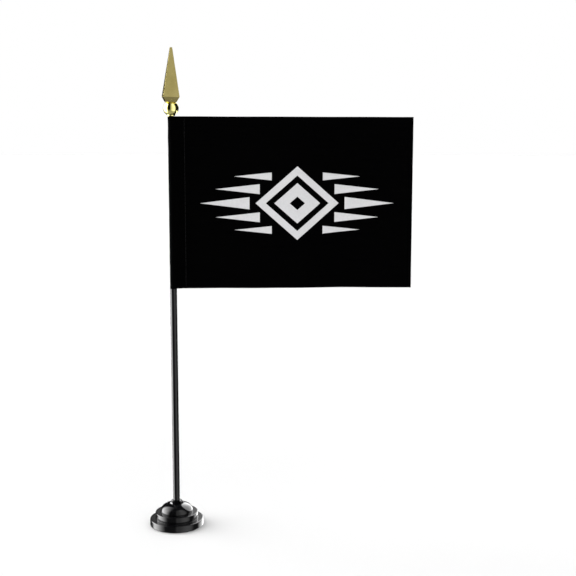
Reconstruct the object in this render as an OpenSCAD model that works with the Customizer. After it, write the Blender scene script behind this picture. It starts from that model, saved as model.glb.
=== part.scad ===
// Desk flag stand: a small flag on a rod that stands in a weighted, stepped round base.
// Millimetres, +Z up. The origin is the centre of the foot, on the surface that it stands on.
// The flag flies towards +X and faces -Y.

/* [Base] */
// Radius of the lower tier
tier1_r = 16.1; // [14:0.1:20]
// Height of the lower tier's wall
tier1_h = 4.0; // [3.4:0.1:6]
// Rounding of the lower tier's top edge
tier1_fillet = 0.6; // [0.2:0.1:1]
// Width of the ledge between the lower tier and the upper one
ledge1 = 3.3; // [2:0.1:4]
// Height of the upper tier
tier2_h = 4.0; // [3:0.1:6]
// Rounding of the upper tier's top edge
tier2_fillet = 0.5; // [0.2:0.1:1]
// Width of the ledge between the upper tier and the dome
ledge2 = 3.05; // [2:0.05:3.5]
// Height of the dome above the upper tier
dome_h = 5.5; // [4:0.1:8]
// Squareness of the dome: 2 is an ellipse, and more has a fuller shoulder
dome_power = 2.4; // [2:0.1:4]
// Radius of the dish in the dome's top
dish_r = 3.9; // [3.4:0.1:5]
// Depth of the dish below the dome's rounded top
dish_depth = 1.1; // [0.6:0.1:1.5]
// Wall of the moulded shell
shell_wall = 1.3; // [1:0.1:1.6]
// Gap between the shell's rim and the table
rim_gap = 0.4; // [0.2:0.1:0.8]

/* [Foot] */
// Thickness of the felt pad
felt_t = 0.9; // [0.6:0.1:1.5]
// Margin of bare plate round the felt pad
felt_inset = 0.3; // [0.2:0.1:2]
// Thickness of the bottom plate
plate_t = 1.2; // [1:0.1:1.5]
// How far the plate's snap bead stands out
bead_h = 0.3; // [0.2:0.05:0.4]

/* [Socket] */
// Wall of the bush that holds the rod
bush_wall = 0.46; // [0.4:0.02:0.8]
// Length of the bush inside the base
bush_len = 7; // [5:0.5:8]
// Height of the flared cup above the dish
cup_h = 2.3; // [1.5:0.1:3]
// How much wider the cup's rim is than the bush, on the radius
cup_flare = 0.95; // [0.5:0.05:1.5]
// Thickness of the cup at its rim
cup_lip = 0.3; // [0.25:0.05:0.5]
// Wall of the boss round the bush
boss_wall = 1.1; // [0.8:0.1:1.5]
// Floor of the boss, under the rod
boss_floor = 0.85; // [0.6:0.05:1.2]

/* [Rod] */
// Diameter of the rod below the flag
rod_d = 4.0; // [3.6:0.1:5]
// How much narrower the rod is inside the sleeve, on the diameter
rod_step = 0.8; // [0.6:0.1:1.2]
// Height of the shoulder that the sleeve stands on, above the table
shoulder_z = 145.2; // [100:0.2:200]
// Diameter of the spigot that carries the finial
spigot_d = 2.4; // [2:0.1:2.6]
// Length of the spigot
spigot_len = 4.5; // [3:0.1:5]

/* [Flag] */
// Height of the flag along the rod
flag_h = 100; // [60:1:150]
// Reach of the flag from the middle of the rod
flag_w = 141.0; // [90:0.5:220]
// Thickness of the cloth
cloth_t = 0.3; // [0.2:0.05:0.5]
// Distance from the rod's middle to the point where the sleeve closes
sleeve_close = 6.0; // [5:0.5:10]
// Width of the doubled strip behind the sleeve's seam
seam_allowance = 3.0; // [2.5:0.5:8]
// Length of one stitch, with its gap
stitch_pitch = 2.4; // [1.5:0.1:4]
// Diameter of the thread
thread_d = 0.3; // [0.2:0.05:0.4]

/* [Finial] */
// Radius of the ball
ball_r = 4.45; // [4:0.05:6]
// Diameter of the short neck under the ball
neck_d = 4.6; // [4.4:0.1:5.6]
// Height of the neck
neck_h = 0.6; // [0.1:0.1:2]
// Side of the spear at its widest
spear_w = 9.3; // [7:0.1:12]
// Side of the spear where it meets the ball
spear_foot_w = 6.1; // [5.8:0.1:7]
// Height of the spear's flaring foot
spear_foot_h = 2.95; // [2:0.05:5]
// Height of the spear from its widest to its tip
spear_h = 27.9; // [20:0.1:40]
// Side of the small flat at the tip
spear_tip_w = 1.3; // [0.3:0.1:2]
// Turn of the spear about the rod
spear_turn = 8.5; // [0:0.5:44]
// Depth of the spear's peg in the ball
peg_len = 2.0; // [1.5:0.1:2.5]

/* [Fits] */
// Clearance of a turning or sliding fit, on the radius
running_clear = 0.04; // [0.02:0.01:0.08]
// Clearance of the finial's fit on its spigot and peg, on the radius
spigot_clear = 0.05; // [0.02:0.01:0.1]
// Clearance of the sleeve round the rod, on the radius
sleeve_clear = 0.1; // [0.05:0.05:0.3]
// Gap under a part that seats on another
seat_gap = 0.05; // [0:0.01:0.1]
// Clearance of a part that drops into the shell
inner_clear = 0.2; // [0.1:0.05:0.3]
// Gap between the sleeve and the finial
sleeve_gap = 0.3; // [0.2:0.05:0.6]

/* [Hidden] */

$fn = 96;
e = 0.01;              // overlap that keeps a cut clean
overlap = 1;           // how far a piece runs into the one that it joins
arc_steps = 6;         // straight steps in a small rounding
curve_steps = 16;      // straight steps in the dome and the cup

// Heights and radii of the base
tier1_top = rim_gap + tier1_h;
tier2_r = tier1_r - ledge1;
tier2_top = tier1_top + tier2_h;
dome_r = tier2_r - ledge2;
dome_top = tier2_top + dome_h;
dish_z = dome_top - dish_depth;
plate_top = felt_t + plate_t;
plate_r = tier1_r - shell_wall - inner_clear / 2;
bead_share = 0.5;      // height of the snap bead, as a share of the plate's thickness

// Rod and socket
rod_r = rod_d / 2;
rod_upper_r = (rod_d - rod_step) / 2;
rod_foot_z = plate_top + seat_gap + boss_floor + seat_gap;
rod_chamfer = 0.3;     // broken edge at the rod's foot and at the spigot's end
bush_bore_r = rod_r + running_clear;
bush_r = bush_bore_r + bush_wall;
bush_hole_r = bush_r + running_clear;
bush_foot_z = dish_z - bush_len;
boss_r = bush_hole_r + boss_wall;
cup_top = dish_z + cup_h;
cup_wall_foot = 0.15;  // how far above the dish the cup's hollow starts

// Flag
sleeve_in_r = rod_upper_r + sleeve_clear;
sleeve_out_r = sleeve_in_r + cloth_t;
flag_z = shoulder_z + sleeve_clear;
sleeve_steps = 24;     // straight steps in the sleeve's round
sleeve_angle = acos(sleeve_in_r / sleeve_close);  // where its straight sides leave the round
seam_x = sleeve_close * sleeve_out_r / sleeve_in_r - cloth_t * tan(sleeve_angle);
stitch_x = sleeve_close + seam_allowance / 2;
stitch_gap = 0.3;      // bare cloth between two stitches
stitch_sink = 0.05;    // how far the thread is pulled into the cloth
loop_share = 0.8;      // thickness of the loop through the cloth, as a share of the thread's

// Finial
spigot_z = flag_z + flag_h + sleeve_gap - seat_gap;
neck_z = spigot_z + seat_gap;
neck_r = neck_d / 2;
ball_z = neck_z + neck_h + sqrt(pow(ball_r, 2) - pow(neck_r, 2));
foot_overhang = 0.25;  // how far the spear's foot reaches past the flat on the ball
ball_flat_r = spear_foot_w / 2 - foot_overhang;
ball_top = ball_z + sqrt(pow(ball_r, 2) - pow(ball_flat_r, 2));
finial_bore_r = spigot_d / 2 + spigot_clear;
bore_end_gap = 0.3;    // air beyond the end of a spigot or peg in its bore

// Weight
weight_flange_r = plate_r - inner_clear;
weight_bore_r = boss_r + inner_clear;
weight_rise = 0.5;     // how far the weight reaches up the dome's cavity, as a share of it

// Points of a quarter-round edge, from its wall to its top
function edge_round(r, top, fillet) =
    [for (i = [0 : arc_steps]) let (a = 90 * i / arc_steps)
        [r - fillet + fillet * cos(a), top - fillet + fillet * sin(a)]];

// Points of the sleeve's round, from its upper straight side to its lower one
function sleeve_round(r) =
    [for (i = [0 : sleeve_steps])
        let (a = sleeve_angle + (360 - 2 * sleeve_angle) * i / sleeve_steps)
        [r * cos(a), r * sin(a)]];

// How far a dome that is size across one axis still reaches at the share s of its other axis
function dome_reach(size, s) = size * pow(1 - pow(s, dome_power), 1 / dome_power);

// Points of a dome's outline, from its foot to its top
function dome_curve(r, h, z) =
    [for (i = [0 : curve_steps]) let (a = 90 * i / curve_steps)
        [r * pow(cos(a), 2 / dome_power), z + h * pow(sin(a), 2 / dome_power)]];

// A ring from z0 to z1, with its bore cut right through
module ring(r, bore_r, z0, z1) {
    translate([0, 0, z0])
        difference() {
            cylinder(r = r, h = z1 - z0);
            translate([0, 0, -e])
                cylinder(r = bore_r, h = z1 - z0 + 2 * e);
        }
}

// The plate's disc with its snap bead: the groove in the shell is the same shape, a little larger
module snap_disc(clear) {
    bead_foot = felt_t + plate_t * (1 - bead_share) / 2 - clear;
    bead_top = felt_t + plate_t * (1 + bead_share) / 2 + clear;
    r = plate_r + clear;
    rotate_extrude()
        polygon([[0, felt_t - clear],
                 [r, felt_t - clear],
                 [r, bead_foot],
                 [r + bead_h, (bead_foot + bead_top) / 2],
                 [r, bead_top],
                 [r, plate_top + clear],
                 [0, plate_top + clear]]);
}

module base_shell() {
    cavity_r = tier1_r - shell_wall;
    dish_rim_z = tier2_top + dome_reach(dome_h, dish_r / dome_r);
    color("#0e0e10")
        difference() {
            union() {
                difference() {
                    rotate_extrude()
                        polygon(concat([[0, rim_gap], [tier1_r, rim_gap]],
                                       edge_round(tier1_r, tier1_top, tier1_fillet),
                                       [[tier2_r, tier1_top]],
                                       edge_round(tier2_r, tier2_top, tier2_fillet),
                                       dome_curve(dome_r, dome_h, tier2_top)));
                    rotate_extrude()
                        polygon(concat([[0, rim_gap - e],
                                        [cavity_r, rim_gap - e],
                                        [cavity_r, tier1_top - shell_wall],
                                        [tier2_r - shell_wall, tier1_top - shell_wall],
                                        [tier2_r - shell_wall, tier2_top - shell_wall],
                                        [dome_r - shell_wall, tier2_top - shell_wall]],
                                       dome_curve(dome_r - shell_wall, dome_h - shell_wall, tier2_top)));
                    snap_disc(inner_clear / 2);
                }
                translate([0, 0, plate_top + seat_gap])
                    cylinder(r = boss_r, h = dome_top - shell_wall / 2 - plate_top - seat_gap);
            }
            rotate_extrude()
                polygon([[0, dish_z],
                         [bush_hole_r, dish_z],
                         [dish_r, dish_rim_z],
                         [dish_r, dome_top + overlap],
                         [0, dome_top + overlap]]);
            translate([0, 0, bush_foot_z - seat_gap])
                cylinder(r = bush_hole_r, h = dish_z - bush_foot_z + seat_gap + e);
            translate([0, 0, plate_top + seat_gap + boss_floor])
                cylinder(r = bush_bore_r, h = bush_foot_z - plate_top);
        }
}

module ballast_weight() {
    rise_z = tier2_top + weight_rise * (dome_h - shell_wall);
    color("#8d9196")
        union() {
            ring(weight_flange_r, weight_bore_r, plate_top, tier1_top - shell_wall - inner_clear);
            ring(tier2_r - shell_wall - inner_clear, weight_bore_r,
                 plate_top, tier2_top - shell_wall - inner_clear);
            ring(dome_reach(dome_r - shell_wall, weight_rise) - inner_clear, weight_bore_r,
                 plate_top, rise_z - inner_clear);
        }
}

module bottom_plate() {
    color("#1c1c1e")
        snap_disc(0);
}

module felt_pad() {
    color("#17171a")
        cylinder(r = plate_r - felt_inset, h = felt_t);
}

module socket_collar() {
    // The flare opens as the square of the height
    outer = [for (i = [0 : curve_steps]) let (s = i / curve_steps)
        [bush_r + cup_flare * s * s, dish_z + seat_gap + (cup_h - seat_gap) * s]];
    hollow_z = dish_z + cup_wall_foot;
    hollow_flare = cup_flare + bush_wall - cup_lip;
    inner = [for (i = [curve_steps : -1 : 0]) let (s = i / curve_steps)
        [bush_bore_r + hollow_flare * s * s, hollow_z + (cup_top - hollow_z) * s]];
    color("#121214")
        rotate_extrude()
            polygon(concat([[bush_bore_r, bush_foot_z], [bush_r, bush_foot_z]], outer, inner));
}

module rod() {
    color("#0c0c0e")
        rotate_extrude()
            polygon([[0, rod_foot_z],
                     [rod_r - rod_chamfer, rod_foot_z],
                     [rod_r, rod_foot_z + rod_chamfer],
                     [rod_r, shoulder_z],
                     [rod_upper_r, shoulder_z],
                     [rod_upper_r, spigot_z],
                     [spigot_d / 2, spigot_z],
                     [spigot_d / 2, spigot_z + spigot_len - rod_chamfer],
                     [spigot_d / 2 - rod_chamfer, spigot_z + spigot_len],
                     [0, spigot_z + spigot_len]]);
}

module flag_cloth() {
    color("#08080a")
        translate([0, 0, flag_z])
            linear_extrude(flag_h)
                difference() {
                    polygon(concat(sleeve_round(sleeve_out_r),
                                   [[seam_x, -cloth_t],
                                    [flag_w, -cloth_t],
                                    [flag_w, 0],
                                    [sleeve_close + seam_allowance, 0],
                                    [sleeve_close + seam_allowance, cloth_t],
                                    [seam_x, cloth_t]]));
                    polygon(concat(sleeve_round(sleeve_in_r), [[sleeve_close, 0]]));
                }
}

// One lockstitch: a run of thread on each face, and the loop that joins them through the cloth
module stitch() {
    run = stitch_pitch - stitch_gap;
    reach = cloth_t + thread_d / 2 - stitch_sink;
    for (side = [-1, 1])
        translate([0, side * reach, 0])
            cylinder(d = thread_d, h = run, $fn = 16);
    translate([0, -reach, thread_d / 2])
        rotate([-90, 0, 0])
            cylinder(d = thread_d * loop_share, h = 2 * reach, $fn = 16);
}

module sleeve_stitching() {
    count = floor(flag_h / stitch_pitch);
    margin = (flag_h - count * stitch_pitch + stitch_gap) / 2;
    color("#202024")
        for (i = [0 : count - 1])
            translate([stitch_x, 0, flag_z + margin + i * stitch_pitch])
                stitch();
}

module finial_ball() {
    color("#d8b860")
        difference() {
            union() {
                intersection() {
                    translate([0, 0, ball_z])
                        sphere(r = ball_r);
                    translate([0, 0, neck_z + neck_h])
                        cylinder(r = 2 * ball_r, h = ball_top - neck_z - neck_h);
                }
                translate([0, 0, neck_z])
                    cylinder(r = neck_r, h = neck_h + overlap);
            }
            translate([0, 0, neck_z - e])
                cylinder(r = finial_bore_r, h = spigot_len - seat_gap + bore_end_gap + e);
            translate([0, 0, ball_top - peg_len - bore_end_gap])
                cylinder(r = finial_bore_r, h = peg_len + bore_end_gap + e);
        }
}

// The spear's outline on one face, drawn out sideways: two of these, crossed, make it square
module spear_slab() {
    wide_z = spear_foot_h;
    tip_z = spear_foot_h + spear_h;
    rotate([90, 0, 0])
        linear_extrude(2 * spear_w, center = true)
            polygon([[-spear_foot_w / 2, 0],
                     [spear_foot_w / 2, 0],
                     [spear_w / 2, wide_z],
                     [spear_tip_w / 2, tip_z],
                     [-spear_tip_w / 2, tip_z],
                     [-spear_w / 2, wide_z]]);
}

module finial_spear() {
    color("#a89a5c")
        translate([0, 0, ball_top])
            rotate([0, 0, spear_turn])
                union() {
                    intersection() {
                        spear_slab();
                        rotate([0, 0, 90])
                            spear_slab();
                    }
                    translate([0, 0, -peg_len])
                        cylinder(r = spigot_d / 2, h = peg_len + overlap);
                }
}

base_shell();
ballast_weight();
bottom_plate();
felt_pad();
socket_collar();
rod();
flag_cloth();
sleeve_stitching();
finial_ball();
finial_spear();
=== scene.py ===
"""Desk flag stand: the looks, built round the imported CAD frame.

Sizes are in millimetres, which MM turns into metres, unless a comment says otherwise.
"""

import math

import bmesh
import bpy
from mathutils import Matrix, Vector, noise


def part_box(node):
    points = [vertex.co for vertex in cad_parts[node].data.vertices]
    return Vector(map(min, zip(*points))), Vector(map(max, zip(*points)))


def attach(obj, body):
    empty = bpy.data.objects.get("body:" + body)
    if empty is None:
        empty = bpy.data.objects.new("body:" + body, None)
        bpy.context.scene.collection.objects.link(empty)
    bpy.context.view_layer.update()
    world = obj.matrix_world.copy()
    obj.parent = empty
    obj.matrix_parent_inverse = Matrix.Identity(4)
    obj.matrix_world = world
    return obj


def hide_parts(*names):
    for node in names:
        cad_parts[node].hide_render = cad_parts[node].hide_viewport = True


MM = 0.001
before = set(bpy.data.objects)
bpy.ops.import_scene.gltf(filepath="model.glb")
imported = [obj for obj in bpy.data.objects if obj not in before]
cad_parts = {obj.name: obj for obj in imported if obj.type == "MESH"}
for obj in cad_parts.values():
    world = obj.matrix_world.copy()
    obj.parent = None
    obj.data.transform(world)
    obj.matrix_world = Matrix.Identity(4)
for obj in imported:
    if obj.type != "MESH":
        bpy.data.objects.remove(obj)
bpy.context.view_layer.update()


# ---------------------------------------------------------------- Camera

SENSOR = 36
LENS = 70
CAMERA_PLACE = (21.8, -654.6, 248.2)
# In degrees: the camera's turn to the left, its look downwards and its roll
CAMERA_TURN = -4.0
CAMERA_DOWN = 8.95
CAMERA_ROLL = 0.09


def make_camera():
    """A long lens a little right of the rod and just under the finial, looking down at the stand's middle."""
    data = bpy.data.cameras.new("camera")
    data.sensor_width = SENSOR
    data.lens = LENS
    data.clip_start = 0.01
    camera = bpy.data.objects.new("camera", data)
    bpy.context.scene.collection.objects.link(camera)
    camera.location = Vector(CAMERA_PLACE) * MM
    turn = Matrix.Rotation(math.radians(CAMERA_TURN), 4, "Z")
    tip = Matrix.Rotation(math.radians(90 - CAMERA_DOWN), 4, "X")
    roll = Matrix.Rotation(math.radians(CAMERA_ROLL), 4, "Z")
    camera.rotation_euler = (turn @ tip @ roll).to_euler()
    bpy.context.scene.camera = camera


# ---------------------------------------------------------------- Mesh helpers

def link(mesh, name, material):
    """A new object for a mesh, with its material."""
    piece = bpy.data.objects.new(name, mesh)
    bpy.context.scene.collection.objects.link(piece)
    mesh.materials.append(material)
    return piece


def smooth(piece, angle=35):
    """Smooth shading that stays crisp at real edges and flat on flat faces."""
    piece.data.shade_smooth()
    piece.data.set_sharp_from_angle(angle=math.radians(angle))
    normals = piece.modifiers.new("flat faces stay flat", "WEIGHTED_NORMAL")
    normals.keep_sharp = True
    return piece


def mesh_from(bm, name):
    """The mesh of a bmesh, with its faces pointing outwards."""
    bmesh.ops.recalc_face_normals(bm, faces=bm.faces)
    mesh = bpy.data.meshes.new(name)
    bm.to_mesh(mesh)
    bm.free()
    return mesh


def rounded(corners, closed=False, steps=6):
    """Points of an outline, from corners that are (radius, height, rounding)."""
    points = []
    last = len(corners) - 1
    for i, (r, z, size) in enumerate(corners):
        here = Vector((r, z))
        if size == 0 or (not closed and i in (0, last)):
            points.append(here)
            continue
        before = Vector(corners[i - 1][:2])
        after = Vector(corners[(i + 1) % len(corners)][:2])
        start = here + (before - here).normalized() * size
        end = here + (after - here).normalized() * size
        for step in range(steps + 1):
            t = step / steps
            points.append(start * (1 - t) ** 2 + here * 2 * t * (1 - t) + end * t * t)
    return points


def lathe(name, outline, material, closed=False, turns=160):
    """A solid turned about Z from an outline of (radius, height) points."""
    bm = bmesh.new()
    rings = []
    for r, z in outline:
        if r == 0:
            rings.append([bm.verts.new((0, 0, z * MM))])
            continue
        angles = [math.tau * i / turns for i in range(turns)]
        points = [(r * MM * math.cos(a), r * MM * math.sin(a), z * MM) for a in angles]
        rings.append([bm.verts.new(point) for point in points])
    pairs = list(zip(rings, rings[1:]))
    if closed:
        pairs.append((rings[-1], rings[0]))
    for low, high in pairs:
        if len(low) == len(high) == 1:
            continue
        for i in range(turns):
            j = (i + 1) % turns
            corners = [low[i % len(low)], low[j % len(low)], high[j % len(high)], high[i % len(high)]]
            bm.faces.new(list(dict.fromkeys(corners)))
    return smooth(link(mesh_from(bm, name), name, material))


# ---------------------------------------------------------------- Material helpers

class Graph:
    """One material's nodes, with short calls to add and join them."""

    def __init__(self, name, surface):
        self.material = bpy.data.materials.new(name)
        self.material.use_nodes = True
        self.tree = self.material.node_tree
        self.shader = self.tree.nodes["Principled BSDF"]
        for socket, value in surface.items():
            self.shader.inputs[socket].default_value = value

    def add(self, kind, inputs=(), **settings):
        """A node of this kind. inputs maps a socket to a value or to another node's output."""
        node = self.tree.nodes.new(kind)
        for key, value in settings.items():
            setattr(node, key, value)
        for socket, value in dict(inputs).items():
            if isinstance(value, bpy.types.NodeSocket):
                self.tree.links.new(value, node.inputs[socket])
            else:
                node.inputs[socket].default_value = value
        return node

    def math(self, operation, *values):
        """The result of a Math node."""
        return self.add("ShaderNodeMath", dict(enumerate(values)), operation=operation).outputs[0]

    def place(self, scale=(1, 1, 1)):
        """Object coordinates, times the cells per metre along each axis."""
        where = self.add("ShaderNodeTexCoord").outputs["Object"]
        return self.add("ShaderNodeMapping", {"Vector": where, "Scale": scale}).outputs[0]

    def noise(self, scale, detail=3, where=None, roughness=0.5):
        """The value of a noise texture. scale is in cells per metre, or per cell of where."""
        inputs = {"Scale": scale, "Detail": detail, "Roughness": roughness}
        inputs["Vector"] = where or self.place()
        return self.add("ShaderNodeTexNoise", inputs).outputs["Fac"]

    def spread(self, value, low, high, from_low=0.3, from_high=0.7):
        """value stretched from its usual spread to low..high, and held there."""
        inputs = {"Value": value, "From Min": from_low, "From Max": from_high, "To Min": low, "To Max": high}
        return self.add("ShaderNodeMapRange", inputs).outputs[0]

    def blend(self, value, low, high):
        """A colour between low and high."""
        node = self.add("ShaderNodeMix", {"Factor": value}, data_type="RGBA")
        for socket, colour in (("A", low), ("B", high)):
            slot = next(s for s in node.inputs if s.name == socket and s.type == "RGBA")
            if isinstance(colour, bpy.types.NodeSocket):
                self.tree.links.new(colour, slot)
            else:
                slot.default_value = (*colour, 1)
        return next(s for s in node.outputs if s.type == "RGBA")

    def set(self, socket, value):
        """Joins a value to the shader."""
        self.tree.links.new(value, self.shader.inputs[socket])

    def bump(self, height, distance, under=None):
        """Bump of this depth in metres, on top of the bump under it."""
        inputs = {"Height": height, "Distance": distance}
        if under is not None:
            inputs["Normal"] = under
        normal = self.add("ShaderNodeBump", inputs).outputs[0]
        self.tree.links.new(normal, self.shader.inputs["Normal"])
        return normal


# ---------------------------------------------------------------- Materials

def gloss_black(name, flow, swell):
    """Glossy black finish: a faint swell in the surface, and fine dust and rubbing in the gloss.

    flow is the cells per metre of swell and rubbing along each axis, and swell is in metres.
    """
    g = Graph(name, {"IOR": 1.38})
    along = g.place(flow)
    rubbing = g.noise(9, detail=6, where=along)
    dust = g.noise(2600, detail=2)
    gloss = g.spread(rubbing, 0.05, 0.10)
    specks = g.spread(dust, 0, 0.16, 0.68, 0.8)
    g.set("Roughness", g.math("ADD", gloss, specks))
    g.set("Base Color", g.blend(specks, (0.003, 0.003, 0.0035), (0.03, 0.029, 0.027)))
    g.bump(g.noise(1.2, detail=1, where=along), swell)
    return g.material


def mirror_gold():
    """Metallised plastic, polished: tiny swells and pits in a mirror."""
    g = Graph("mirror gold", {"Metallic": 1.0, "Base Color": (0.86, 0.79, 0.30, 1)})
    g.set("Roughness", g.spread(g.noise(900, detail=4), 0.03, 0.085))
    g.bump(g.noise(260, detail=1), 0.00003)
    return g.material


def satin_gold():
    """Metallised plastic with a satin, faintly drawn surface."""
    g = Graph("satin gold", {"Metallic": 1.0})
    drawn = g.noise(1, detail=5, where=g.place((2600, 2600, 110)), roughness=0.7)
    cloudy = g.noise(140, detail=3)
    g.set("Base Color", g.blend(g.spread(cloudy, 0, 1), (0.375, 0.31, 0.105), (0.465, 0.395, 0.155)))
    g.set("Roughness", g.spread(drawn, 0.19, 0.25))
    g.bump(drawn, 0.000002)
    return g.material


def felt():
    """Black wool felt: a mat of short fibres."""
    g = Graph("felt", {"Roughness": 0.95, "Sheen Weight": 0.5, "Sheen Roughness": 0.6})
    fibres = g.noise(2200, detail=8, roughness=0.75)
    g.set("Base Color", g.blend(g.spread(fibres, 0, 1), (0.006, 0.006, 0.007), (0.035, 0.034, 0.037)))
    g.bump(fibres, 0.0004)
    return g.material


def matt_black():
    """Textured black plastic, as moulded in a spark-eroded tool."""
    g = Graph("matt black", {"Base Color": (0.014, 0.014, 0.015, 1)})
    grain = g.noise(3500, detail=4)
    g.set("Roughness", g.spread(grain, 0.45, 0.7))
    g.bump(grain, 0.00006)
    return g.material


def turned_steel():
    """Steel as it comes off a lathe, with rings from the tool."""
    g = Graph("turned steel", {"Metallic": 1.0, "Base Color": (0.52, 0.53, 0.55, 1)})
    inputs = {"Vector": g.place(), "Scale": 420, "Distortion": 0.4, "Detail": 2}
    rings = g.add("ShaderNodeTexWave", inputs, wave_type="RINGS", rings_direction="Z").outputs["Fac"]
    g.set("Roughness", g.spread(rings, 0.22, 0.38, 0, 1))
    g.bump(rings, 0.00002)
    return g.material


def thread_material():
    """Black polyester thread, with the twist of its plies."""
    g = Graph("thread", {"Roughness": 0.6, "Specular IOR Level": 0.12})
    inputs = {"Vector": g.place(), "Scale": 900, "Distortion": 0.2}
    twist = g.add("ShaderNodeTexWave", inputs, bands_direction="DIAGONAL").outputs["Fac"]
    g.set("Base Color", g.blend(twist, (0.001, 0.001, 0.0012), (0.006, 0.006, 0.0065)))
    g.bump(twist, 0.00005)
    return g.material


# Half the width and height of the print's lozenges: its frame's outer and inner edge, its middle and its eye
LOZENGES = ((24.5, 21.5), (18.5, 16.2), (13.5, 11.8), (4.5, 3.9))
# The print's bars: where each starts and ends, its distance from the middle line, and half its width at first
BARS = ((28, 57, 0, 3.6), (22, 48, 8.2, 2.9), (15, 37, 15.6, 2.3))


def lozenge(g, x, z, half_width, half_height):
    """1 inside a lozenge in the middle of the emblem."""
    reach = g.math("ADD", g.math("DIVIDE", x, half_width * MM), g.math("DIVIDE", z, half_height * MM))
    return g.math("LESS_THAN", reach, 1.0)


def bar(g, x, z, root, tip, height, half_root):
    """1 inside a bar that tapers from root to tip, at this distance above and below the middle."""
    along = g.math("DIVIDE", g.math("SUBTRACT", x, root * MM), (tip - root) * MM)
    half = g.math("MULTIPLY", g.math("SUBTRACT", 1.0, along), half_root * MM)
    off = g.math("ABSOLUTE", g.math("SUBTRACT", z, height * MM))
    return g.math("MULTIPLY", g.math("LESS_THAN", off, half), g.math("GREATER_THAN", along, 0.0))


def emblem(g, u, v):
    """1 inside the print: a plain ornament of nested lozenges between tapering bars."""
    x = g.math("ABSOLUTE", g.math("SUBTRACT", u, EMBLEM_X))
    z = g.math("ABSOLUTE", g.math("SUBTRACT", v, EMBLEM_Z))
    outer, inner, middle, eye = (lozenge(g, x, z, *size) for size in LOZENGES)
    ink = g.math("SUBTRACT", outer, inner)
    ink = g.math("ADD", ink, g.math("SUBTRACT", middle, eye))
    for shape in BARS:
        ink = g.math("MAXIMUM", ink, bar(g, x, z, *shape))
    return ink


def cloth(name, ink_strength):
    """Black plain-weave polyester with a white print. Both follow the cloth's own UV map, in metres."""
    g = Graph(name, {"Specular IOR Level": 0.01})
    flat = g.add("ShaderNodeUVMap", uv_map=CLOTH_MAP).outputs[0]
    along = g.add("ShaderNodeSeparateXYZ", {"Vector": flat})
    u, v = along.outputs[0], along.outputs[1]
    turns = math.tau / THREAD_PITCH
    warp = g.math("SINE", g.math("MULTIPLY", u, turns))
    weft = g.math("SINE", g.math("MULTIPLY", v, turns))
    crossing = g.math("MULTIPLY", warp, weft)
    slub = g.noise(1, detail=3, where=g.place((40, 40, 2500)))
    ink = g.math("MULTIPLY", emblem(g, u, v), ink_strength)
    mottle = g.noise(900, detail=4)
    ink = g.math("MULTIPLY", ink, g.spread(mottle, 0.93, 1.0))
    yarn = g.blend(g.spread(slub, 0, 1), (0.0001, 0.0001, 0.0002), (0.0006, 0.0006, 0.0007))
    g.set("Base Color", g.blend(ink, yarn, (0.68, 0.68, 0.69)))
    g.set("Roughness", g.spread(crossing, 0.72, 0.88, -1, 1))
    weave = g.bump(g.math("ADD", crossing, g.math("MULTIPLY", slub, 0.8)), 0.00003)
    g.bump(ink, 0.00002, under=weave)
    return g.material


# ---------------------------------------------------------------- Base

TIER1_TOP = 4.4
TIER2_R = 12.8
TIER2_TOP = 8.4
DOME_R = 9.75
DOME_H = 5.5
DOME_POWER = 2.4
DISH_R = 3.9
DISH_Z = 12.8
SHELL_WALL = 1.3
BUSH_R = 2.5
BUSH_BORE_R = 2.04
RUNNING_CLEAR = 0.04
BOSS_R = 3.64
PLATE_GAP = 0.05
DISH_RIM = 0.4
# The cup: how far it flares out, how thick its lip is, and how far above the dish it and its hollow start
CUP_FLARE = 0.95
CUP_LIP = 0.3
CUP_START = 0.05
CUP_FLOOR = 0.15
CUP_STEPS = 20


def low_high(node):
    """A CAD node's lowest and highest corners."""
    low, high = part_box(node)
    return Vector(low) / MM, Vector(high) / MM


def dome(r, h, z, narrowest, steps):
    """Corners of a full-shouldered dome, from the radius narrowest out to its foot."""
    corners = []
    for i in range(steps + 1):
        a = math.radians(90 * (1 - i / steps))
        here = r * math.cos(a) ** (2 / DOME_POWER)
        if here > narrowest:
            corners.append((here, z + h * math.sin(a) ** (2 / DOME_POWER), 0))
    return corners


def make_shell(material):
    """The moulded shell, with its cavity and the boss that holds the bush."""
    low, high = low_high("base_shell")
    boss_foot = low_high("bottom_plate")[1].z + PLATE_GAP
    bush_foot = low_high("socket_collar")[0].z
    rod_foot = low_high("rod")[0].z
    cavity_r = high.x - SHELL_WALL
    hole_r = BUSH_R + RUNNING_CLEAR
    outline = [
        (0, rod_foot, 0), (BUSH_BORE_R, rod_foot, 0), (BUSH_BORE_R, bush_foot, 0), (hole_r, bush_foot, 0),
        (hole_r, DISH_Z, 0.1), (DISH_R, high.z, 0.25),
        *dome(DOME_R, DOME_H, TIER2_TOP, DISH_R + DISH_RIM, 60),
        (TIER2_R, TIER2_TOP, 0.5), (TIER2_R, TIER1_TOP, 0.12),
        (high.x, TIER1_TOP, 0.6), (high.x, low.z, 0.3), (cavity_r, low.z, 0.15),
        (cavity_r, TIER1_TOP - SHELL_WALL, 0.3), (TIER2_R - SHELL_WALL, TIER1_TOP - SHELL_WALL, 0.3),
        (TIER2_R - SHELL_WALL, TIER2_TOP - SHELL_WALL, 0.3),
        (DOME_R - SHELL_WALL, TIER2_TOP - SHELL_WALL, 0.2),
        *reversed(dome(DOME_R - SHELL_WALL, DOME_H - SHELL_WALL, TIER2_TOP, BOSS_R, 24)),
        (BOSS_R, boss_foot, 0.2), (0, boss_foot, 0),
    ]
    shell = lathe("shell", rounded(outline), material, turns=192)
    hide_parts("base_shell")
    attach(shell, "base")
    return shell


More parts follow.
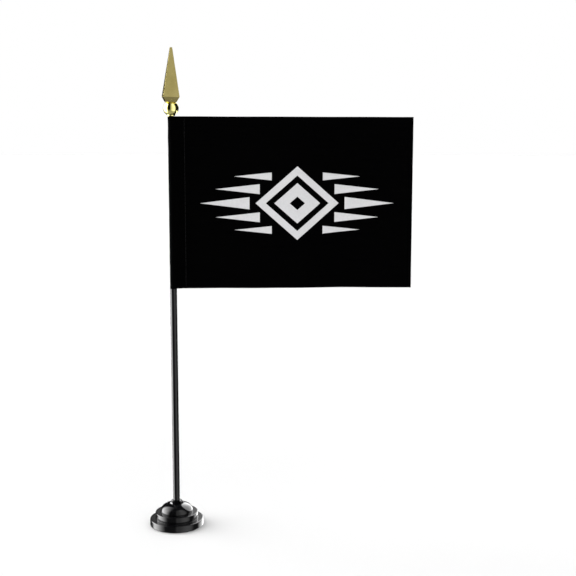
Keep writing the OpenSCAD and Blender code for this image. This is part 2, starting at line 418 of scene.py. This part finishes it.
def make_collar(material):
    """The bush, which opens into a small flared cup round the rod."""
    low, high = low_high("socket_collar")
    flare_h = high.z - DISH_Z - CUP_START
    hollow_z = DISH_Z + CUP_FLOOR
    inner_flare = CUP_FLARE + BUSH_R - BUSH_BORE_R - CUP_LIP
    shares = [i / CUP_STEPS for i in range(CUP_STEPS)]
    outline = [(BUSH_BORE_R, low.z, 0.05), (BUSH_R, low.z, 0.15)]
    outline += [(BUSH_R + CUP_FLARE * s * s, high.z - flare_h * (1 - s), 0) for s in shares]
    outline += [(high.x, high.z, 0.12), (BUSH_BORE_R + inner_flare, high.z, 0.12)]
    outline += [(BUSH_BORE_R + inner_flare * s * s, hollow_z + (high.z - hollow_z) * s, 0)
                for s in reversed(shares)]
    collar = lathe("collar", rounded(outline, closed=True), material, closed=True, turns=128)
    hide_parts("socket_collar")
    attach(collar, "collar")
    return collar


# The pad's ragged edge: its depth, its cells per metre and the share of the pad's radius where it starts
FRAY = 0.08
FRAY_CELLS = 1800
FRAY_START = 0.9


def make_felt(material):
    """The felt pad, with a soft, slightly ragged edge."""
    low, high = low_high("felt_pad")
    corners = [(0, low.z, 0), (high.x, low.z, 0.3), (high.x, high.z, 0.15), (0, high.z, 0)]
    pad = lathe("felt", rounded(corners), material, turns=360)
    for vertex in pad.data.vertices:
        r = math.hypot(vertex.co.x, vertex.co.y)
        if r > FRAY_START * high.x * MM:
            fray = noise.noise(vertex.co * FRAY_CELLS) * FRAY * MM - FRAY * MM
            vertex.co.xy *= 1 + fray / r
    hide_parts("felt_pad")
    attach(pad, "base")


# ---------------------------------------------------------------- Rod

SHOULDER_GAP = 0.1
ROD_UPPER_R = 1.6
SPIGOT_R = 1.2
SPIGOT_LEN = 4.5


def make_rod(material):
    """The rod, turned down inside the sleeve and again for the finial."""
    low, high = low_high("rod")
    shoulder = low_high("flag_cloth")[0].z - SHOULDER_GAP
    spigot_z = high.z - SPIGOT_LEN
    outline = [
        (0, low.z, 0), (high.x, low.z, 0.35), (high.x, shoulder, 0.2), (ROD_UPPER_R, shoulder, 0.1),
        (ROD_UPPER_R, spigot_z, 0.15), (SPIGOT_R, spigot_z, 0), (SPIGOT_R, high.z, 0.3), (0, high.z, 0),
    ]
    rod = lathe("rod_shaft", rounded(outline), material, turns=96)
    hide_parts("rod")
    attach(rod, "rod")


# ---------------------------------------------------------------- Finial

BALL_R = 4.45
BALL_STEPS = 80
NECK_R = 2.3
SEAT_INSET = 0.25
SPEAR_W = 9.3
SPEAR_FOOT_W = 6.1
SPEAR_FOOT_H = 2.95
SPEAR_TIP_W = 1.3
SPEAR_EDGE = 0.04
# The spear's turn about its axis and its lean to the right, in degrees, and its foot's shift to the right
SPEAR_TURN = 8.5
SPEAR_LEAN = 1.2
SPEAR_SHIFT = -0.15
PEG_LEN = 2.0
PEG_OVERLAP = 0.5
SPIGOT_CLEAR = 0.05
BORE_END_GAP = 0.3


def make_ball(material):
    """The ball, with its short neck, its seat for the spear and a bore at each end."""
    low, high = low_high("finial_ball")
    bore_r = SPIGOT_R + SPIGOT_CLEAR
    seat_r = SPEAR_FOOT_W / 2 - SEAT_INSET
    centre_z = high.z - math.sqrt(BALL_R ** 2 - seat_r ** 2)
    first = math.asin(-math.sqrt(BALL_R ** 2 - NECK_R ** 2) / BALL_R)
    last = math.asin((high.z - centre_z) / BALL_R)
    curve = [first + (last - first) * i / BALL_STEPS for i in range(BALL_STEPS + 1)]
    lower_end = low.z + SPIGOT_LEN + BORE_END_GAP
    upper_end = high.z - PEG_LEN - BORE_END_GAP
    outline = [(0, lower_end, 0), (bore_r, lower_end, 0), (bore_r, low.z, 0.1), (NECK_R, low.z, 0.2)]
    outline += [(BALL_R * math.cos(a), centre_z + BALL_R * math.sin(a), 0) for a in curve]
    outline += [(bore_r, high.z, 0), (bore_r, upper_end, 0), (0, upper_end, 0)]
    ball = lathe("ball", rounded(outline), material, turns=192)
    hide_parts("finial_ball")
    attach(ball, "finial")


def make_spear(material):
    """The square spear: a flaring foot under a long taper, with its edges just broken.

    It leans a little, as pressed in.
    """
    low, high = low_high("finial_spear")
    foot_z = low.z + PEG_LEN
    levels = [(SPEAR_FOOT_W, foot_z), (SPEAR_W, foot_z + SPEAR_FOOT_H), (SPEAR_TIP_W, high.z)]
    bm = bmesh.new()
    squares = []
    for side, z in levels:
        half = side / 2
        corners = [(-half, -half), (half, -half), (half, half), (-half, half)]
        squares.append([bm.verts.new((x * MM, y * MM, z * MM)) for x, y in corners])
    for lower, upper in zip(squares, squares[1:]):
        for i in range(4):
            j = (i + 1) % 4
            bm.faces.new((lower[i], lower[j], upper[j], upper[i]))
    bm.faces.new(squares[0])
    bm.faces.new(squares[-1])
    bmesh.ops.rotate(bm, verts=bm.verts, matrix=Matrix.Rotation(math.radians(SPEAR_TURN), 3, "Z"))
    lean = Matrix.Rotation(math.radians(SPEAR_LEAN), 3, "Y")
    bmesh.ops.rotate(bm, verts=bm.verts, cent=(0, 0, foot_z * MM), matrix=lean)
    bmesh.ops.translate(bm, verts=bm.verts, vec=(SPEAR_SHIFT * MM, 0, 0))
    spear = link(mesh_from(bm, "spear"), "spear", material)
    broken = spear.modifiers.new("broken edges", "BEVEL")
    broken.width = SPEAR_EDGE * MM
    broken.segments = 4
    smooth(spear, 40)
    peg_top = foot_z + PEG_OVERLAP
    peg_corners = [(0, low.z, 0), (SPIGOT_R, low.z, 0.2), (SPIGOT_R, peg_top, 0), (0, peg_top, 0)]
    peg = lathe("spear_peg", rounded(peg_corners), material, turns=48)
    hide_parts("finial_spear")
    for piece in (spear, peg):
        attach(piece, "finial")


# ---------------------------------------------------------------- Flag

CLOTH_MAP = "cloth"
CLOTH_T = 0.26
THREAD_PITCH = 0.36 * MM
# The sleeve goes round the rod at SLEEVE_R and closes SLEEVE_CLOSE from its middle. There the middles of the
# two layers are LAYER_Y from the seam's plane, and their faces HALF_GAP
SLEEVE_R = 1.8
SLEEVE_CLOSE = 6.0
SEAM_ALLOWANCE = 3.0
FINE_MESH_END = SLEEVE_CLOSE + 4
HALF_GAP = 0.01
LAYER_Y = CLOTH_T / 2 + HALF_GAP
STITCH_PITCH = 2.4
STITCH_GAP = 0.3
STITCH_X = SLEEVE_CLOSE + SEAM_ALLOWANCE / 2
THREAD_R = 0.14
STITCH_LEAN = 0.05
# How far the flag sinks for each millimetre from the rod, the share of its width that the waves take up, and
# how much higher than cut its top stands
DROOP = math.tan(math.radians(0.10))
TAKE_UP = 0.0035
LIFT = 0.15
SLEEVE_ANGLE = math.acos(SLEEVE_R / SLEEVE_CLOSE)
LOOP = 2 * SLEEVE_CLOSE * math.sin(SLEEVE_ANGLE) + SLEEVE_R * (math.tau - 2 * SLEEVE_ANGLE)
PANEL_START = SEAM_ALLOWANCE + LOOP
# The print's middle: how far it is from the rod and up the flag, and its place on the flat cloth in metres
EMBLEM_REACH = 73
EMBLEM_RISE = 50
EMBLEM_X = (PANEL_START + EMBLEM_REACH - SLEEVE_CLOSE) * MM
EMBLEM_Z = EMBLEM_RISE * MM
CLOTH_ROWS = 168


def cloth_path(width):
    """The cloth seen from above: (x, y) points from its seam allowance, round the rod, to the fly."""
    def straight(a, b, count):
        return [Vector(a).lerp(Vector(b), i / count) for i in range(count)]

    def on_sleeve(angle):
        return (SLEEVE_R * math.cos(angle), SLEEVE_R * math.sin(angle))

    turn = math.tau - 2 * SLEEVE_ANGLE
    bend = 28
    path = straight((SLEEVE_CLOSE + SEAM_ALLOWANCE, LAYER_Y), (SLEEVE_CLOSE, LAYER_Y), 6)
    path += straight((SLEEVE_CLOSE, LAYER_Y), on_sleeve(SLEEVE_ANGLE), 8)
    path += [Vector(on_sleeve(SLEEVE_ANGLE + turn * i / bend)) for i in range(bend)]
    path += straight(on_sleeve(-SLEEVE_ANGLE), (SLEEVE_CLOSE, -LAYER_Y), 8)
    path += straight((SLEEVE_CLOSE, -LAYER_Y), (FINE_MESH_END, -LAYER_Y), 8)
    path += straight((FINE_MESH_END, -LAYER_Y), (width, -LAYER_Y), 108)
    return path + [Vector((width, -LAYER_Y))]


def ease(value):
    """0 below 0, 1 above 1 and smooth between."""
    t = min(max(value, 0.0), 1.0)
    return t * t * (3 - 2 * t)


# Each wave of the panel: its height, its length, its slant in waves over the flag's height, and its phase
ROLL = (1.2, 104, 0.16, 0.5)
RIPPLE = (0.4, 43, -0.3, 1.1)
# How far the fly comes forward, and how far from the seam the waves reach their full height
FLY_FORWARD = 2.6
SEAM_HOLD = 45


def wave(x, low, size, length, slant, phase):
    """One wave of the panel."""
    return size * math.sin(math.tau * (x / length + slant * low) + phase)


def billow(x, z, width, height):
    """How far the panel swings out of its plane at x from the rod and z above its lower edge.

    The ripple grows towards the lower edge.
    """
    free = ease((x - SLEEVE_CLOSE - SEAM_ALLOWANCE) / SEAM_HOLD)
    low = 1 - z / height
    ripple = wave(x, low, *RIPPLE) * (0.4 + 0.6 * low)
    forward = -FLY_FORWARD * ease(x / width) ** 2
    return free * (wave(x, low, *ROLL) + ripple + forward)


# The dip under a stitch and how far it reaches. Then the puckers beside the seam: their depth, how far from
# it they are full, how far they reach, and their length and height
DIP, DIP_REACH = 0.05, 0.7
PUCKER, PUCKER_FULL, PUCKER_REACH, PUCKER_LENGTH, PUCKER_HEIGHT = 0.22, 2, 9, 30, 5.5


def gather(x, z):
    """Small puckers that the seam pulls into the panel beside it, and the dip under each stitch."""
    beyond = x - STITCH_X
    dip = DIP * math.cos(math.tau * z / STITCH_PITCH) * math.exp(-(beyond / DIP_REACH) ** 2)
    if beyond < 0:
        return dip
    pull = noise.noise(Vector((x / PUCKER_LENGTH, 0, z / PUCKER_HEIGHT)))
    return dip + PUCKER * pull * ease(beyond / PUCKER_FULL) * math.exp(-beyond / PUCKER_REACH)


# How far the cut edges wander, and over what length. Then the sleeve: how loose it is, over what length it
# tightens towards the seam, and the depth, length and height of its wrinkles
EDGE_WANDER, EDGE_LENGTH = 0.08, 21
SLACK, TIGHTENING = 0.05, 4
WRINKLE, WRINKLE_LENGTH, WRINKLE_HEIGHT = 0.09, 2, 7


def cloth_point(flat, z, width, height):
    """Where a point of the path goes at height z above the flag's lower edge."""
    x, y = flat
    edge = (2 * z / height - 1) * EDGE_WANDER * noise.noise(Vector((x / EDGE_LENGTH, 3.7, 0)))
    sag = x * DROOP
    if x < SLEEVE_CLOSE:
        cell = Vector((x / WRINKLE_LENGTH, y / WRINKLE_LENGTH, z / WRINKLE_HEIGHT))
        loose = SLACK + WRINKLE * noise.noise(cell)
        grow = 1 + loose * ease((SLEEVE_CLOSE - x) / TIGHTENING) / SLEEVE_R
        return x * grow, y * grow, z - sag + edge + LIFT * z / height
    side = -1 if y < 0 else 1
    y -= side * gather(x, z)
    if side < 0:
        y += billow(x, z, width, height)
    return x * (1 - TAKE_UP), y, z - sag + edge + LIFT * z / height


def make_cloth(front, back):
    """The flag: one cut of cloth, wrapped round the rod, doubled at the seam and hanging in soft waves."""
    low, high = low_high("flag_cloth")
    width, height = high.x, high.z - low.z
    path = cloth_path(width)
    along = [0]
    for a, b in zip(path, path[1:]):
        along.append(along[-1] + (b - a).length)
    heights = [height * i / CLOTH_ROWS for i in range(CLOTH_ROWS + 1)]
    bm = bmesh.new()
    grid = []
    for flat in path:
        points = [cloth_point(flat, z, width, height) for z in heights]
        grid.append([bm.verts.new((x * MM, y * MM, (low.z + z) * MM)) for x, y, z in points])
    flat_map = bm.loops.layers.uv.new(CLOTH_MAP)
    for i in range(len(path) - 1):
        for j in range(CLOTH_ROWS):
            corners = [(i, j), (i + 1, j), (i + 1, j + 1), (i, j + 1)]
            face = bm.faces.new([grid[a][b] for a, b in corners])
            face.smooth = True
            for loop, (a, b) in zip(face.loops, corners):
                loop[flat_map].uv = (along[a] * MM, heights[b] * MM)
    mesh = bpy.data.meshes.new("flag")
    bm.to_mesh(mesh)
    bm.free()
    flag = link(mesh, "flag", front)
    mesh.materials.append(back)
    layers = flag.modifiers.new("thickness", "SOLIDIFY")
    layers.thickness = CLOTH_T * MM
    layers.offset = 0
    layers.material_offset = 1
    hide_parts("flag_cloth")
    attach(flag, "flag")


def tube(bm, points, radius, sides=8):
    """A closed tube of this radius along points that keep about the same x."""
    rings = []
    for i, point in enumerate(points):
        before, after = points[max(i - 1, 0)], points[min(i + 1, len(points) - 1)]
        along = (after - before).normalized()
        across = Vector((1, 0, 0))
        out = along.cross(across)
        angles = [math.tau * k / sides for k in range(sides)]
        spokes = [across * math.cos(a) + out * math.sin(a) for a in angles]
        rings.append([bm.verts.new(point + radius * spoke) for spoke in spokes])
    for lower, upper in zip(rings, rings[1:]):
        for k in range(sides):
            m = (k + 1) % sides
            bm.faces.new((lower[k], lower[m], upper[m], upper[k]))
    bm.faces.new(rings[0])
    bm.faces.new(rings[-1])


# Shares of a stitch's run, and how far the thread's middle stands off the cloth there
STITCH_SHAPE = (
    (0, -0.16), (0.05, -0.02), (0.16, 0.08), (0.35, 0.1),
    (0.65, 0.1), (0.84, 0.08), (0.95, -0.02), (1, -0.16),
)


def make_stitching(material):
    """The lockstitches that close the sleeve, on both faces. Each dives into the cloth at its ends."""
    low, high = low_high("flag_cloth")
    height = high.z - low.z
    count = int(height / STITCH_PITCH)
    margin = (height - count * STITCH_PITCH + STITCH_GAP) / 2
    surface = LAYER_Y + CLOTH_T / 2
    run = STITCH_PITCH - STITCH_GAP
    bm = bmesh.new()
    for i in range(count):
        foot = low.z + margin + i * STITCH_PITCH - STITCH_X * DROOP
        lean = STITCH_LEAN * noise.noise(Vector((0, 0, i * 1.7)))
        for side in (-1, 1):
            points = [
                Vector((STITCH_X + lean * (2 * share - 1), side * (surface + off), foot + share * run)) * MM
                for share, off in STITCH_SHAPE
            ]
            tube(bm, points, THREAD_R * MM)
    stitches = smooth(link(mesh_from(bm, "stitching"), "stitching", material), 60)
    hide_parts("sleeve_stitching")
    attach(stitches, "flag")


# ---------------------------------------------------------------- Studio

FLOOR_R = 6000


def make_floor():
    """A plain pale floor. Glossy surfaces see past it, to the studio's lights."""
    bm = bmesh.new()
    bmesh.ops.create_circle(bm, cap_ends=True, segments=96, radius=FLOOR_R * MM)
    g = Graph("floor", {"Roughness": 0.9, "Specular IOR Level": 0.1})
    g.set("Base Color", g.blend(g.noise(3, detail=2), (0.77, 0.77, 0.77), (0.78, 0.78, 0.78)))
    floor = link(mesh_from(bm, "floor"), "floor", g.material)
    floor.visible_glossy = False


# Each light: the azimuths where it starts, is full, is last full and ends, how far the first two lean for
# each degree of height, the four heights likewise, all in degrees, and its brightness. Azimuth 0 is in front,
# -90 on the left, -180 behind and -270 on the right.
LIGHTS = (
    (-139, -112, -95, -46, 0.35, -60, 0, 14, 80, 13.5),
    (-8, 4, 66, 84, 0, -40, -30, 62, 76, 0.75),
    (10, 45, 52, 80, 0, -60, -25, 62, 76, 0.9),
    (-258, -240, -205, -180, 0, -62, -50, -20.2, -19.2, 3.8),
    (-215, -200, -186, -174, 0, 2, 10, 30, 45, 2.2),
)
SEAM_AZIMUTH = 95
# The room between the lights: its brightness low down and high up, and the heights where the one ends and the
# other starts, in degrees
GROUND = 0.42
SKY = 0.01
GROUND_END = -55
SKY_START = -8
# How matt surfaces see all of it: this share of its brightness, and this much more
DIFFUSE_SHARE = 0.32
FILL = 0.80


def make_studio():
    """Large soft lights in a dark room over a pale floor, and a white backdrop for the camera."""
    world = bpy.data.worlds.new("studio")
    bpy.context.scene.world = world
    world.use_nodes = True
    tree = world.node_tree
    tree.nodes.clear()

    def join(value, socket):
        if isinstance(value, bpy.types.NodeSocket):
            tree.links.new(value, socket)
        else:
            socket.default_value = value

    def calculate(operation, *values):
        node = tree.nodes.new("ShaderNodeMath")
        node.operation = operation
        for value, socket in zip(values, node.inputs):
            join(value, socket)
        return node.outputs[0]

    def ramp(value, start, end, low=0.0, high=1.0):
        """A smooth change from low at start to high at end, both in degrees."""
        node = tree.nodes.new("ShaderNodeMapRange")
        node.interpolation_type = "SMOOTHSTEP"
        settings = (value, math.radians(start), math.radians(end), low, high)
        for socket, setting in zip(("Value", "From Min", "From Max", "To Min", "To Max"), settings):
            join(setting, node.inputs[socket])
        return node.outputs[0]

    axes = tree.nodes.new("ShaderNodeSeparateXYZ")
    tree.links.new(tree.nodes.new("ShaderNodeTexCoord").outputs["Generated"], axes.inputs[0])
    x, y, z = axes.outputs
    seam = math.radians(SEAM_AZIMUTH)
    azimuth = calculate("ARCTAN2", x, calculate("MULTIPLY", y, -1.0))
    azimuth = calculate("WRAP", azimuth, seam, seam - math.tau)
    height = calculate("ARCSINE", z)
    rays = tree.nodes.new("ShaderNodeLightPath").outputs
    total = ramp(height, GROUND_END, SKY_START, GROUND, SKY)
    for left, full, last_full, right, lean, foot, low, high, top, power in LIGHTS:
        leaned = calculate("ADD", azimuth, calculate("MULTIPLY", height, lean))
        across = calculate("MULTIPLY", ramp(leaned, left, full), ramp(azimuth, right, last_full))
        upward = calculate("MULTIPLY", ramp(height, foot, low), ramp(height, top, high))
        shape = calculate("MULTIPLY", across, upward)
        total = calculate("ADD", calculate("MULTIPLY", shape, power), total)
    even = calculate("MULTIPLY_ADD", total, DIFFUSE_SHARE, FILL)
    change = calculate("MULTIPLY", rays["Is Diffuse Ray"], calculate("SUBTRACT", even, total))
    total = calculate("ADD", total, change)
    lights = tree.nodes.new("ShaderNodeBackground")
    tree.links.new(total, lights.inputs["Strength"])
    backdrop = tree.nodes.new("ShaderNodeBackground")
    for background in (lights, backdrop):
        background.inputs["Color"].default_value = (1, 1, 1, 1)
    seen = tree.nodes.new("ShaderNodeMixShader")
    tree.links.new(rays["Is Camera Ray"], seen.inputs[0])
    tree.links.new(lights.outputs[0], seen.inputs[1])
    tree.links.new(backdrop.outputs[0], seen.inputs[2])
    tree.links.new(seen.outputs[0], tree.nodes.new("ShaderNodeOutputWorld").inputs[0])
    # Off, because its rays don't count as diffuse ones: matt surfaces would see the lights undimmed
    world.cycles.sampling_method = "NONE"
    bpy.context.scene.view_settings.view_transform = "Standard"


# How far the base lights are from the base, in metres. Then each one's azimuth and elevation in degrees, its
# width and height in metres and its brightness. Here azimuth 0 is in front and 90 on the right.
BASE_LIGHT_REACH = 0.4
BASE_LIGHTS = (
    (133, 25, 0.58, 0.54, 5.6),
    (150, -11, 0.20, 0.15, 6.0),
)


def make_base_lights(pieces):
    """Soft oval lights behind on the right that only the base sees, for highlights on its dome and walls."""
    lit = bpy.data.collections.new("lit by the base lights")
    for piece in pieces:
        lit.objects.link(piece)
    for number, (azimuth, elevation, width, tall, power) in enumerate(BASE_LIGHTS, 1):
        name = f"base light {number}"
        data = bpy.data.lights.new(name, "AREA")
        data.shape = "ELLIPSE"
        data.size = width
        data.size_y = tall
        # In watts: pi times the brightness and the oval's area
        data.energy = power * math.pi * math.pi / 4 * width * tall
        light = bpy.data.objects.new(name, data)
        bpy.context.scene.collection.objects.link(light)
        turn = Matrix.Rotation(math.radians(azimuth), 4, "Z")
        tilt = Matrix.Rotation(math.radians(90 - elevation), 4, "X")
        light.matrix_world = turn @ tilt @ Matrix.Translation((0, 0, BASE_LIGHT_REACH))
        light.light_linking.receiver_collection = lit


# ---------------------------------------------------------------- The object

def repaint(node, material):
    """A CAD node whose shape is right keeps it, with a better material."""
    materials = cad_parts[node].data.materials
    materials.clear()
    materials.append(material)


make_camera()
make_studio()
make_floor()
shell_black = gloss_black("shell black", (90, 90, 90), 0.00004)
base_pieces = [make_shell(shell_black), make_collar(shell_black)]
make_base_lights(base_pieces)
make_felt(felt())
repaint("bottom_plate", matt_black())
repaint("ballast_weight", turned_steel())
make_rod(gloss_black("rod black", (500, 500, 14), 0.000015))
make_ball(mirror_gold())
make_spear(satin_gold())
make_cloth(cloth("cloth", 1.0), cloth("cloth reverse", 0.82))
make_stitching(thread_material())
